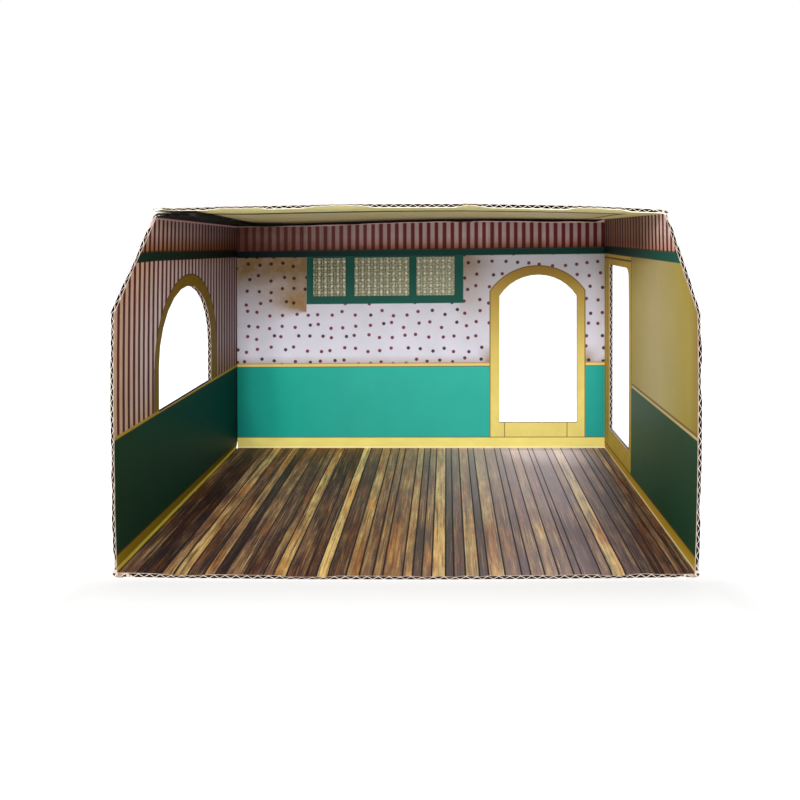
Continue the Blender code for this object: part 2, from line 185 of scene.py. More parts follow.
def rising(tree, value, start, end):
    """0 below start and 1 over end, which may be the lower of the two."""
    node = tree.nodes.new("ShaderNodeMapRange")
    feed(tree, node.inputs["Value"], value)
    feed(tree, node.inputs["From Min"], start)
    feed(tree, node.inputs["From Max"], end)
    return node.outputs["Result"]


def within(tree, value, low, high, soft=0.3):
    """1 between two values, with soft edges."""
    return times(
        tree,
        rising(tree, value, low - soft, low + soft),
        rising(tree, value, high + soft, high - soft),
    )


def box_mask(tree, across, over, left, right, low, high):
    """1 in a box on the back wall, with soft edges."""
    return times(tree, within(tree, across, left, right), within(tree, over, low, high))


def paint(tree, under, over, mask, mode="MIX"):
    node = tree.nodes.new("ShaderNodeMix")
    node.data_type = "RGBA"
    node.blend_type = mode
    feed(tree, node.inputs["Factor"], mask)
    feed(tree, node.inputs[6], under)
    feed(tree, node.inputs[7], over)
    return node.outputs[2]


def coats(tree, colour, *layers):
    """Paints layers over a colour in turn. Each has its colour and mask, and may have a mode."""
    for layer in layers:
        colour = paint(tree, colour, *layer)
    return colour


def ramp(tree, value, stops):
    node = tree.nodes.new("ShaderNodeValToRGB")
    elements = node.color_ramp.elements
    while len(elements) < len(stops):
        elements.new(0.5)
    for element, (position, colour) in zip(elements, stops):
        element.position = position
        element.color = (*colour, 1)
    feed(tree, node.inputs["Fac"], value)
    return node.outputs["Color"]


def place(tree, x, y, z=0.0):
    node = tree.nodes.new("ShaderNodeCombineXYZ")
    for socket, value in zip(node.inputs, (x, y, z)):
        feed(tree, socket, value)
    return node.outputs[0]


def parts_of(tree, vector):
    node = tree.nodes.new("ShaderNodeSeparateXYZ")
    feed(tree, node.inputs[0], vector)
    return node.outputs[0], node.outputs[1], node.outputs[2]


def millimetres(tree):
    """The place on the piece, in millimetres."""
    node = tree.nodes.new("ShaderNodeVectorMath")
    node.operation = "SCALE"
    feed(tree, node.inputs[0], tree.nodes.new("ShaderNodeTexCoord").outputs["Object"])
    node.inputs["Scale"].default_value = 1000
    return node.outputs[0]


def attribute(tree, name):
    node = tree.nodes.new("ShaderNodeAttribute")
    node.attribute_name = name
    return node.outputs["Fac"]


def grain(tree, vector, scale, detail=3.0, roughness=0.55):
    node = tree.nodes.new("ShaderNodeTexNoise")
    feed(tree, node.inputs["Vector"], vector)
    node.inputs["Scale"].default_value = scale
    node.inputs["Detail"].default_value = detail
    node.inputs["Roughness"].default_value = roughness
    return node.outputs["Fac"]


def scattered_dots(tree, vector, pitch, randomness):
    """How far a place is from the nearest dot, in pitches, and a number that picks the dot's colour."""
    node = tree.nodes.new("ShaderNodeTexVoronoi")
    node.voronoi_dimensions = "2D"
    feed(tree, node.inputs["Vector"], vector)
    node.inputs["Scale"].default_value = 1 / pitch
    node.inputs["Randomness"].default_value = randomness
    return node.outputs["Distance"], parts_of(tree, node.outputs["Color"])[0]


def new_group(name, outputs, **inputs):
    """A node group. Its inputs are given with their defaults, of which a tuple is a colour."""
    tree = bpy.data.node_groups.new(name, "ShaderNodeTree")
    for label, value in inputs.items():
        kind = "NodeSocketColor" if isinstance(value, tuple) else "NodeSocketFloat"
        socket = tree.interface.new_socket(name=label, in_out="INPUT", socket_type=kind)
        socket.default_value = (*value, 1) if isinstance(value, tuple) else value
    for label in outputs:
        kind = "NodeSocketColor" if label == "Color" else "NodeSocketFloat"
        tree.interface.new_socket(name=label, in_out="OUTPUT", socket_type=kind)
    return tree, tree.nodes.new("NodeGroupInput").outputs, tree.nodes.new("NodeGroupOutput").inputs


def use_group(tree, name, **values):
    node = tree.nodes.new("ShaderNodeGroup")
    node.node_tree = bpy.data.node_groups[name]
    for label, value in values.items():
        feed(tree, node.inputs[label], value)
    return node.outputs


# Shared effects


def make_sheet_place():
    """Where a point lies on the print: across the room, behind the front and over the floor.
    The sheet has sunk towards the top rear left corner, and its print with it."""
    tree, _, out = new_group("sheet place", ("Across", "Behind", "Over"))
    x, y, z = parts_of(tree, millimetres(tree))
    leftwards = rising(tree, x, HALF * 1000, ROOF_LEFT * 1000)
    rearwards = rising(tree, y, ROOF_FRONT * 1000, REAR * 1000)
    share = times(tree, leftwards, rearwards, SINK / ROOM_HEIGHT)
    feed(tree, out["Across"], x)
    feed(tree, out["Behind"], take(tree, y, FRONT * 1000))
    feed(tree, out["Over"], divide(tree, take(tree, z, FLOOR_TOP * 1000), take(tree, 1.0, share)))


def make_stripes():
    """Printed stripes of two colours, a little uneven in width and tone."""
    tree, given, out = new_group(
        "printed stripes", ("Color",),
        Along=0.0, Over=0.0, Pitch=7.5, Share=0.45, Dark=(0.15, 0.02, 0.03), Light=(0.6, 0.5, 0.5),
    )
    turns = divide(tree, given["Along"], given["Pitch"])
    wander = grain(tree, place(tree, turns, 0.0), 0.7, 1.0)
    turns = add(tree, turns, times(tree, take(tree, wander, 0.5), 0.15))
    half_dark = times(tree, given["Share"], 0.5)
    dark = rising(tree, to_and_fro(tree, turns), add(tree, half_dark, 0.05), take(tree, half_dark, 0.05))
    stripe = calc(tree, "FLOOR", add(tree, turns, 0.5))
    tone = grain(tree, place(tree, times(tree, stripe, 7.3), 0.0), 1.0, 0.0)
    streak = grain(tree, place(tree, given["Along"], times(tree, given["Over"], 0.06)), 1.2, 3.0)
    colour = coats(
        tree, given["Light"],
        (given["Dark"], dark),
        ((0.62, 0.55, 0.52), times(tree, rising(tree, tone, 0.3, 0.75), 0.45), "MULTIPLY"),
        ((0.7, 0.66, 0.62), times(tree, rising(tree, streak, 0.4, 0.7), 0.4), "MULTIPLY"),
    )
    feed(tree, out["Color"], colour)


def make_ageing():
    """Brown stain over print, in cloudy patches, where its mask asks for it."""
    tree, given, out = new_group("ageing stain", ("Color",), Color=WHITE, Stain=WHITE, Amount=0.0)
    spot = millimetres(tree)
    cloud = grain(tree, spot, 0.06, 4.0, 0.6)
    fine = grain(tree, spot, 0.5, 3.0, 0.6)
    ragged = add(tree, times(tree, take(tree, cloud, 0.5), 0.8), times(tree, take(tree, fine, 0.5), 0.3))
    mask = calc(tree, "MULTIPLY", given["Amount"], add(tree, 0.95, ragged), clamp=True)
    feed(tree, out["Color"], paint(tree, given["Color"], given["Stain"], mask, "MULTIPLY"))


def make_paper_tooth():
    """Fine fibres of the paper: a height for bump, and a speckle that lightens and darkens the print."""
    tree, given, out = new_group("paper tooth", ("Color", "Height"), Color=WHITE, Strength=0.2)
    spot = millimetres(tree)
    fine = grain(tree, spot, 2.2, 5.0, 0.65)
    broad = grain(tree, spot, 0.035, 3.0, 0.5)
    tone = add(tree, times(tree, take(tree, fine, 0.5), 0.5), times(tree, take(tree, broad, 0.5), 0.7))
    level = add(tree, 1.0, times(tree, tone, given["Strength"]))
    feed(tree, out["Color"], paint(tree, given["Color"], place(tree, level, level, level), 1.0, "MULTIPLY"))
    feed(tree, out["Height"], add(tree, fine, times(tree, broad, 2.0)))


def make_worn_edge():
    """Pale torn paper along a cut edge of a printed panel. Distance is millimetres from the edge."""
    tree, given, out = new_group(
        "worn edge", ("Color",), Color=WHITE, Paper=WHITE, Distance=10.0, Width=0.5
    )
    ragged = times(tree, grain(tree, millimetres(tree), 0.45, 5.0, 0.7), 2.0)
    reach = times(tree, given["Width"], ragged)
    soft = times(tree, given["Width"], 0.35)
    mask = rising(tree, given["Distance"], add(tree, reach, soft), take(tree, reach, soft))
    feed(tree, out["Color"], paint(tree, given["Color"], given["Paper"], mask))


def aged(tree, colour, amount, stain):
    return use_group(tree, "ageing stain", Color=colour, Amount=amount, Stain=stain)["Color"]


def worn(tree, colour, distance, width, paper=TORN_PAPER):
    return use_group(tree, "worn edge", Color=colour, Distance=distance, Width=width, Paper=paper)["Color"]


def make_finish(name, roughness, look, strength=0.22, bump=0.12):
    """A material whose colour comes through the paper's tooth. Its look is a colour or paints one."""
    material, tree, shader = new_material(name, roughness)
    colour = look(tree) if callable(look) else look
    out = use_group(tree, "paper tooth", Color=colour, Strength=strength)
    feed(tree, shader.inputs["Base Color"], out["Color"])
    node = tree.nodes.new("ShaderNodeBump")
    node.inputs["Strength"].default_value = bump
    node.inputs["Distance"].default_value = 0.0002
    feed(tree, node.inputs["Height"], out["Height"])
    feed(tree, shader.inputs["Normal"], node.outputs["Normal"])
    return material


# Printed panels. Places on them are in millimetres.


def floor_print(tree):
    spot = use_group(tree, "sheet place")
    across, behind = spot["Across"], spot["Behind"]
    lightness, number = attribute(tree, "plank_lightness"), attribute(tree, "plank_number")
    shift = times(tree, number, 37.0)
    streaks, patches, flecks, smears, rust = (
        grain(tree, place(tree, times(tree, across, wide), times(tree, behind, long), shift), 1.0, fine, 0.7)
        for wide, long, fine in (
            (0.9, 0.016, 6.0), (0.08, 0.014, 3.0), (1.7, 0.30, 6.0), (0.45, 0.020, 4.0), (0.06, 0.012, 2.0),
        )
    )
    tone = add(tree, 0.08, times(tree, lightness, 0.86), times(tree, take(tree, patches, 0.5), 1.5))
    wood = ramp(
        tree,
        tone,
        [
            (0.0, (0.022, 0.011, 0.012)),
            (0.25, (0.075, 0.036, 0.030)),
            (0.50, (0.200, 0.105, 0.060)),
            (0.75, (0.420, 0.265, 0.105)),
            (1.0, (0.790, 0.600, 0.240)),
        ],
    )
    light_share = add(tree, 0.25, times(tree, lightness, 0.75))
    golden = times(tree, within(tree, across, -60.0, 40.0, 40.0), rising(tree, behind, 140.0, 60.0))
    # Painted sheen: the doorway's reflection painted into the floor's colour as a lilac-grey haze, towards
    # the right and stronger to the rear. The dark seams are painted a little lighter under it.
    from_right = take(tree, across, times(tree, behind, 0.13))
    painted_sheen = times(
        tree,
        rising(tree, across, -60.0, 90.0),
        rising(tree, from_right, 152.0, 104.0),
        add(tree, 0.22, times(tree, rising(tree, behind, 60.0, 230.0), 0.52)),
    )
    sheen_colour = paint(tree, (0.46, 0.44, 0.35), (0.62, 0.55, 0.64), rising(tree, across, -20.0, 80.0))
    on_seam = times(tree, rising(tree, lightness, -0.5, -0.9), take(tree, 0.96, times(tree, painted_sheen, 0.35)))
    return coats(
        tree, wood,
        ((0.88, 0.64, 0.21), times(tree, rising(tree, streaks, 0.54, 0.66), light_share)),
        ((0.95, 0.80, 0.48), times(tree, rising(tree, flecks, 0.58, 0.72), light_share, 0.6)),
        ((0.012, 0.006, 0.006), times(tree, rising(tree, streaks, 0.48, 0.36), 0.75)),
        ((0.022, 0.011, 0.014), times(tree, rising(tree, smears, 0.48, 0.36), 0.70)),
        ((0.020, 0.010, 0.010), times(tree, rising(tree, flecks, 0.46, 0.36), 0.40)),
        ((1.0, 0.66, 0.42), times(tree, rising(tree, rust, 0.50, 0.62), 0.8), "MULTIPLY"),
        ((1.0, 0.88, 0.70), golden, "MULTIPLY"),
        (sheen_colour, painted_sheen),
        ((0.022, 0.012, 0.012), on_seam),
    )


def wall_distance(tree, behind, over):
    """Millimetres from a side wall's cut front edges."""
    lean = math.atan2(ROOF_SETBACK, CEILING - KNEE)
    over_knee = take(tree, over, (KNEE - FLOOR_TOP) * 1000)
    slant = take(tree, times(tree, behind, math.cos(lean)), times(tree, over_knee, math.sin(lean)))
    return lower(tree, behind, slant)


def arch_distance(tree, along, over, middle, spring, radius, half):
    """Signed millimetres outside an arched outline: its head over the spring, and its sides below."""
    aside, rise = take(tree, along, middle), take(tree, over, spring)
    reach = calc(tree, "SQRT", add(tree, times(tree, aside, aside), times(tree, rise, rise)))
    head, sides = take(tree, reach, radius), take(tree, magnitude(tree, aside), half)
    if radius > half:
        head = upper(tree, head, sides)
    over_spring = calc(tree, "GREATER_THAN", over, spring)
    return add(tree, times(tree, head, over_spring), times(tree, sides, take(tree, 1.0, over_spring)))


def left_wall_print(tree):
    spot = use_group(tree, "sheet place")
    behind, over = spot["Behind"], spot["Over"]
    stripes = use_group(
        tree, "printed stripes", Along=take(tree, behind, 5.5), Over=over, Pitch=7.1, Share=0.46,
        Dark=(0.11, 0.020, 0.026), Light=(0.72, 0.60, 0.60),
    )["Color"]
    edge = wall_distance(tree, behind, over)
    high = rising(tree, over, BAND_HIGH - 1.0, BAND_HIGH)
    front_age = times(tree, rising(tree, edge, 48.0, 4.0), take(tree, 0.85, times(tree, high, 0.4)))
    low_age = times(tree, rising(tree, over, 112.0, 80.0), 0.8)
    top_age = times(tree, rising(tree, over, 178.0, 192.0), rising(tree, over, 206.0, 193.0), 0.8)
    age = upper(tree, front_age, low_age, top_age)
    colour = aged(tree, stripes, age, (0.84, 0.58, 0.29))
    rust = times(tree, high, rising(tree, over, 205.0, 193.0))
    # Painted shade under the ceiling over the band, deeper towards the rear.
    painted_top_shade = times(tree, high, add(tree, 0.35, times(tree, rising(tree, behind, 60.0, 235.0), 0.60)))
    # The band is painted darker towards the rear: painted shade.
    band = paint(tree, (0.001, 0.018, 0.009), (0.0005, 0.004, 0.003), rising(tree, behind, 60.0, 220.0))
    colour = coats(
        tree, colour,
        # Painted shade: the striped paper darker towards the rear.
        ((0.42, 0.36, 0.40), times(tree, rising(tree, behind, 70.0, 250.0), 0.9), "MULTIPLY"),
        ((0.70, 0.44, 0.22), rust, "MULTIPLY"),
        ((0.48, 0.34, 0.32), painted_top_shade, "MULTIPLY"),
        (band, within(tree, over, BAND_LOW + 0.8, BAND_HIGH + 1.0)),
        ((0.012, 0.008, 0.006), within(tree, over, BAND_HIGH + 1.0, BAND_HIGH + 1.6, 0.4)),
    )

    outside = arch_distance(tree, behind, over, 120.75, 112.0, 62.6, 63.2)
    above_dado = rising(tree, over, 80.5, 81.0)
    trim_grain = grain(tree, place(tree, behind, over), 0.09, 3.0)
    green = paint(tree, (0.006, 0.030, 0.013), (0.001, 0.037, 0.028), rising(tree, behind, 0.0, 200.0))
    # The skirting is painted darker towards the rear: painted shade.
    skirting = paint(tree, (0.30, 0.190, 0.008), (0.11, 0.055, 0.004), rising(tree, behind, 0.0, 230.0))
    under_top = take(tree, 10.2, times(tree, behind, 0.014), over)
    colour = coats(
        tree, colour,
        (
            paint(tree, (0.26, 0.15, 0.002), (0.13, 0.070, 0.001), trim_grain),
            times(tree, rising(tree, outside, 0.3, -0.3), above_dado),
        ),
        ((0.05, 0.026, 0.012), times(tree, within(tree, outside, -0.6, 0.2), above_dado)),
        (green, rising(tree, over, DADO + 0.3, DADO - 0.3)),
        ((0.42, 0.27, 0.03), within(tree, over, DADO - 0.6, DADO + 1.4)),
        ((0.05, 0.03, 0.01), within(tree, over, DADO - 1.4, DADO - 0.8)),
        (skirting, rising(tree, under_top, -0.3, 0.3)),
        ((0.74, 0.60, 0.06), within(tree, over, 0.4, 2.8, 0.4)),
        ((0.07, 0.032, 0.006), within(tree, under_top, -0.2, 0.7)),
    )
    colour = worn(tree, colour, edge, 0.35)
    crease = magnitude(tree, take(tree, over, 215.5))
    colour = worn(tree, colour, crease, 0.75, (0.62, 0.32, 0.33))
    # Over the crease the strip up to the wall's top is near black: painted shade of the gap under the glue
    # tab.
    return paint(tree, colour, (0.025, 0.016, 0.014), rising(tree, over, 215.7, 216.2))


def right_wall_print(tree):
    spot = use_group(tree, "sheet place")
    behind, over = spot["Behind"], spot["Over"]
    flat = place(tree, behind, over)
    stripes = use_group(
        tree, "printed stripes", Along=take(tree, behind, 3.6), Over=over, Pitch=8.45, Share=0.44,
        Dark=(0.11, 0.016, 0.020), Light=(0.86, 0.64, 0.58),
    )["Color"]
    shaded = times(tree, rising(tree, over, 150.0, 188.0), rising(tree, behind, 60.0, 150.0))
    colour = coats(
        tree, (0.46, 0.35, 0.058),
        ((0.36, 0.265, 0.040), grain(tree, flat, 0.018, 3.0, 0.5)),
        # Painted sheen: a paler khaki stretch in the middle of the wall.
        ((0.60, 0.50, 0.27), times(tree, within(tree, behind, 50.0, 120.0, 26.0), 0.55)),
        ((0.24, 0.165, 0.05), times(tree, shaded, 0.6)),
        (stripes, rising(tree, over, BAND_HIGH, BAND_HIGH + 0.4)),
    )
    age = times(tree, rising(tree, behind, 14.0, 0.0), 0.6)
    colour = aged(tree, colour, age, (0.55, 0.36, 0.15))
    # Painted shade over the upper rear of the wall.
    painted_upper_rear_shade = times(tree, rising(tree, behind, 62.0, 120.0), rising(tree, over, 180.0, 196.0), 0.9)
    rust = times(tree, rising(tree, over, 206.0, 193.0), rising(tree, over, 190.0, 192.0), 0.85)
    # The band is painted darker towards the rear: painted shade.
    band = paint(tree, (0.002, 0.090, 0.062), (0.001, 0.014, 0.010), rising(tree, behind, 40.0, 170.0))
    # The green is painted lighter towards the rear: a painted sheen beside the doorway.
    green = paint(tree, (0.008, 0.048, 0.020), (0.030, 0.090, 0.045), rising(tree, behind, 60.0, 150.0))
    trim = coats(
        tree, (0.62, 0.42, 0.065),
        ((0.42, 0.27, 0.035), grain(tree, flat, 0.12, 3.0)),
        ((0.10, 0.055, 0.02), within(tree, behind, 226.5, 227.6, 0.4)),
        ((0.10, 0.055, 0.02), within(tree, behind, 234.5, 235.6, 0.4)),
        ((0.055, 0.03, 0.014), within(tree, over, 181.4, 182.8, 0.4)),
    )
    on_trim = rising(tree, behind, DOOR_TRIM - 0.4, DOOR_TRIM + 0.2)
    beside_trim = within(tree, behind, DOOR_TRIM - 0.8, DOOR_TRIM + 0.2)
    skirting = paint(tree, (0.56, 0.35, 0.030), (0.40, 0.235, 0.024), rising(tree, over, 3.0, 9.0))
    under_top = take(tree, 9.2, times(tree, behind, 0.008), over)
    colour = coats(
        tree, colour,
        ((0.30, 0.20, 0.17), painted_upper_rear_shade, "MULTIPLY"),
        ((0.80, 0.46, 0.32), rust, "MULTIPLY"),
        (band, within(tree, over, BAND_LOW + 0.6, BAND_HIGH + 1.2)),
        ((0.03, 0.02, 0.012), within(tree, over, BAND_HIGH + 1.2, BAND_HIGH + 1.8, 0.4)),
        (green, rising(tree, over, DADO + 0.3, DADO - 0.3)),
        ((0.16, 0.09, 0.03), within(tree, over, DADO + 1.0, DADO + 2.6, 0.5)),
        ((0.60, 0.47, 0.19), within(tree, over, DADO - 0.9, DADO + 1.0)),
        (trim, times(tree, on_trim, rising(tree, over, BAND_LOW + 0.4, BAND_LOW))),
        ((0.07, 0.04, 0.016), times(tree, beside_trim, rising(tree, over, BAND_LOW, BAND_LOW - 0.5))),
        (skirting, rising(tree, under_top, -0.3, 0.3)),
        ((0.88, 0.74, 0.40), within(tree, over, 0.4, 1.7, 0.4)),
        ((0.10, 0.052, 0.012), within(tree, under_top, -0.2, 0.7)),
    )
    return worn(tree, colour, wall_distance(tree, behind, over), 0.35)


def back_wall_paper(tree, across, over):
    """Pale paper with scattered dots, stained beside the window frame, by the door and over the dado."""
    flat = place(tree, across, over)
    paper = paint(tree, (0.63, 0.62, 0.71), (0.51, 0.50, 0.57), grain(tree, flat, 0.03, 3.0))
    softness = add(tree, 1.0, times(tree, rising(tree, across, -112.0, -160.0), 18.0))
    low_edge = rising(tree, over, take(tree, 132.0, softness), add(tree, 132.0, softness))
    toward_frame = times(tree, rising(tree, across, -180.0, -122.0), 0.95)
    stain = upper(
        tree,
        times(
            tree,
            low_edge,
            rising(tree, across, -108.2, -108.9),
            upper(tree, toward_frame, rising(tree, over, 138.0, 172.0)),
        ),
        times(
            tree,
            rising(tree, across, 34.0, 40.0),
            rising(tree, across, 76.0, 46.0),
            times(tree, rising(tree, over, 116.0, 176.0), 0.80),
        ),
        times(
            tree,
            rising(tree, across, 52.0, 66.0),
            rising(tree, across, 172.0, 158.0),
            rising(tree, over, 100.0, 84.0),
        ),
        times(tree, rising(tree, over, 90.0, 82.0), 0.5),
    )
    colour = aged(tree, paper, stain, (0.46, 0.28, 0.10))
    distance, pick = scattered_dots(tree, place(tree, add(tree, across, 400.0), over), 11.6, 0.50)
    dot = coats(
        tree, (0.14, 0.005, 0.030),
        ((0.036, 0.006, 0.022), rising(tree, pick, 0.76, 0.78)),
        ((0.016, 0.006, 0.008), times(tree, stain, 0.95)),
    )
    return paint(tree, colour, dot, times(tree, rising(tree, distance, 0.166, 0.122), 0.95))


def back_wall_stripes(tree, across, over, to_left):
    """The aged stripes over the band, browner to the left and near the band."""
    stripes = use_group(
        tree, "printed stripes", Along=across, Over=over, Pitch=7.55, Share=0.48,
        Dark=paint(tree, (0.18, 0.020, 0.044), (0.22, 0.090, 0.090), to_left),
        Light=paint(tree, (0.62, 0.49, 0.47), (0.38, 0.28, 0.26), to_left),
    )["Color"]
    age = upper(tree, to_left, 0.3, times(tree, rising(tree, over, 202.0, 192.0), 0.85))
    stripes = aged(tree, stripes, age, (0.46, 0.27, 0.19))
    patches = times(tree, grain(tree, place(tree, across, over), 0.10, 3.0), 0.9)
    rust = times(tree, rising(tree, over, 204.0, 193.0), add(tree, 0.35, patches))
    return paint(tree, stripes, (0.66, 0.36, 0.22), rust, "MULTIPLY")


def cane(tree, across, over):
    """A cane-like weave: pale crossings in columns on a darker ground of fine upright strands."""
    aside, upwards = (
        to_and_fro(tree, divide(tree, value, 5.9))
        for value in (add(tree, across, 102.3), take(tree, over, 150.8))
    )
    column = rising(tree, aside, 0.24, 0.06)
    row = rising(tree, upwards, 0.30, 0.08)
    halfway = rising(tree, upwards, 0.34, 0.46)
    strands = to_and_fro(tree, divide(tree, across, 1.2))
    between = times(tree, rising(tree, aside, 0.38, 0.47), upper(tree, row, halfway))
    mottle = grain(tree, place(tree, across, over), 0.55, 3.0, 0.7)
    return coats(
        tree, (0.165, 0.155, 0.078),
        ((0.34, 0.335, 0.23), rising(tree, across, -100.0, 30.0)),
        ((0.045, 0.045, 0.022), times(tree, rising(tree, strands, 0.34, 0.5), 0.55)),
        ((0.34, 0.34, 0.22), times(tree, column, 0.65)),
        ((0.74, 0.76, 0.60), times(tree, column, upper(tree, row, times(tree, halfway, 0.45)))),
        ((0.55, 0.56, 0.42), times(tree, between, 0.55)),
        ((0.50, 0.52, 0.50), times(tree, rising(tree, mottle, 0.44, 0.62), 0.8), "MULTIPLY"),
        ((1.0, 1.0, 0.86), times(tree, rising(tree, mottle, 0.46, 0.34), 0.35)),
    )


def door_trim(tree, across, over):
    """The doorway's printed trim, and where it lies."""
    outside = arch_distance(tree, across, over, 111.2, 120.1, 55.0, 45.7)
    wood = coats(
        tree, (0.80, 0.68, 0.20),
        ((0.31, 0.17, 0.020), rising(tree, over, 40.0, 180.0)),
        ((0.42, 0.27, 0.05), times(tree, grain(tree, place(tree, across, over), 0.11, 4.0), 0.4)),
        ((0.12, 0.065, 0.02), times(tree, within(tree, outside, -1.0, 0.3), 0.85)),
    )
    for joint in (79.8, 139.3):
        line = within(tree, across, joint - 0.35, joint + 0.35, 0.25)
        wood = paint(tree, wood, (0.16, 0.09, 0.03), times(tree, line, rising(tree, over, 25.6, 25.0)))
    return wood, rising(tree, outside, 0.3, -0.3)


def back_wall_print(tree):
    spot = use_group(tree, "sheet place")
    across, over = spot["Across"], spot["Over"]
    to_left = rising(tree, across, 0.0, -175.0)
    paper = back_wall_paper(tree, across, over)
    stripes = back_wall_stripes(tree, across, over, to_left)
    band = paint(tree, (0.001, 0.042, 0.030), (0.0005, 0.004, 0.007), to_left)
    colour = coats(
        tree, paper,
        (stripes, rising(tree, over, BAND_HIGH - 0.3, BAND_HIGH)),
        (band, within(tree, over, BAND_LOW, BAND_HIGH)),
        ((0.02, 0.012, 0.012), within(tree, over, BAND_HIGH, BAND_HIGH + 0.7, 0.4)),
        ((0.006, 0.080, 0.060), box_mask(tree, across, over, -108.6, 40.6, 139.6, BAND_LOW + 0.5)),
    )
    weave = cane(tree, across, over)
    for left, right in ((-102.0, -71.2), (-63.0, -11.0), (-4.0, 32.2)):
        colour = coats(
            tree, colour,
            ((0.006, 0.05, 0.04), box_mask(tree, across, over, left - 0.7, right + 0.7, 146.5, 184.9)),
            (weave, box_mask(tree, across, over, left, right, 147.2, 184.2)),
        )
    # Painted shade: the teal darker towards both corners, most at the left.
    teal_with_painted_corner_shade = ramp(
        tree,
        rising(tree, across, -175.0, 175.0),
        [
            (0.0, (0.004, 0.20, 0.16)),
            (0.12, (0.010, 0.33, 0.26)),
            (0.30, (0.022, 0.34, 0.27)),
            (0.70, (0.028, 0.38, 0.31)),
            (1.0, (0.014, 0.30, 0.26)),
        ],
    )
    streaks = grain(tree, place(tree, across, times(tree, over, 3.0)), 0.05, 3.0)
    skirting = paint(tree, (0.84, 0.74, 0.22), (0.70, 0.58, 0.15), streaks)
    colour = coats(
        tree, colour,
        (teal_with_painted_corner_shade, rising(tree, over, DADO + 0.3, DADO - 0.3)),
        ((0.66, 0.50, 0.14), within(tree, over, DADO - 0.8, DADO + 1.6)),
        ((0.10, 0.055, 0.02), within(tree, over, DADO - 1.5, DADO - 0.9)),
        ((0.40, 0.24, 0.10), within(tree, over, DADO + 1.7, DADO + 2.6, 0.4)),
        door_trim(tree, across, over),
        (skirting, rising(tree, over, SKIRTING + 0.3, SKIRTING - 0.3)),
        ((0.14, 0.09, 0.03), within(tree, over, SKIRTING, SKIRTING + 0.7)),
        ((0.83, 0.75, 0.36), within(tree, over, 0.8, 2.0, 0.4)),
    )
    off_middle = divide(tree, take(tree, across, 22.0), 112.0)
    raised = times(tree, upper(tree, take(tree, 1.0, times(tree, off_middle, off_middle)), 0.0), 2.2)
    edge = take(tree, add(tree, 215.7, raised), over)
    torn = paint(tree, (0.90, 0.55, 0.52), (0.40, 0.26, 0.23), to_left)
    return worn(tree, colour, edge, 0.55, torn)


def roof_print(tree):
    """A beige ceiling with a yellow border along the front and the right wall, and a dark line between."""
    spot = use_group(tree, "sheet place")
    across, behind = spot["Across"], spot["Behind"]
    flat = place(tree, across, behind)
    from_right = times(tree, take(tree, BORDER_RIGHT, across), 4.0)
    wander = times(tree, take(tree, grain(tree, flat, 0.03, 2.0), 0.5), 8.0)
    inwards = add(tree, lower(tree, take(tree, behind, BORDER_REAR), from_right), wander)
    # The beige is painted dark over its last 50 mm towards the back wall: painted shade.
    beige = coats(
        tree, (0.64, 0.55, 0.30),
        ((0.52, 0.43, 0.22), grain(tree, flat, 0.04, 3.0)),
        ((0.05, 0.034, 0.02), times(tree, rising(tree, behind, 190.0, 240.0), 0.9)),
    )
    colour = coats(
        tree, (0.80, 0.73, 0.34),
        ((0.70, 0.63, 0.26), grain(tree, flat, 0.05, 3.0)),
        (beige, rising(tree, inwards, -2.0, 2.0)),
        ((0.030, 0.018, 0.010), within(tree, inwards, 0.0, 13.0, 2.0)),
    )
    return worn(tree, colour, take(tree, behind, ROOF_SETBACK * 1000), 1.6, (0.92, 0.84, 0.66))


# Near black with a faint mottle, for the glue tab's underside; behind the back wall it is painted shade in
# the gap.
def dark_tab_and_painted_gap_shade(tree):
    spot = use_group(tree, "sheet place")
    mottle = grain(tree, place(tree, spot["Across"], spot["Behind"]), 0.3, 4.0)
    return paint(tree, (0.006, 0.007, 0.006), (0.012, 0.012, 0.012), mottle)


def cut_board(tree):
    """The board's cut edge: a thin brown liner under the print, fluting, and the pale outer liner.
    Beside a fold the fluting is pressed shut, and the shade in its waves is painted as dark creases."""
    spot = millimetres(tree)
    through = attribute(tree, "through_board")
    x, _, z = parts_of(tree, spot)
    along = add(tree, magnitude(tree, x), z)
    wave = to_and_fro(tree, divide(tree, along, COLUMN_PITCH * 1000), 1.0)
    crease = rising(tree, magnitude(tree, take(tree, wave, through)), 0.20, 0.32)
    crease = times(tree, crease, within(tree, through, 0.16, 0.84, 0.04))
    by_fold = times(tree, rising(tree, magnitude(tree, x), 166.5, 167.5), attribute(tree, "by_fold"))
    over_room = rising(tree, z, CEILING * 1000 - 1.0, CEILING * 1000)
    return coats(
        tree, (0.58, 0.50, 0.43),
        ((0.42, 0.28, 0.27), rising(tree, grain(tree, spot, 0.12, 2.0), 0.50, 0.75)),
        ((0.10, 0.06, 0.05), times(tree, rising(tree, grain(tree, spot, 0.9, 4.0, 0.7), 0.54, 0.72), 0.8)),
        (HOLLOW_PAINTED_SHADE, times(tree, crease, by_fold)),
        (PALE_LINER, rising(tree, through, 0.84, 0.92)),
        ((0.30, 0.19, 0.12), rising(tree, through, 0.10, 0.03)),
        ((0.88, 0.80, 0.62), times(tree, rising(tree, through, 0.19, 0.14), over_room)),
    )


# The folded sheet


def work_on(piece):
    bpy.ops.object.select_all(action="DESELECT")
    piece.select_set(True)
    bpy.context.view_layer.objects.active = piece


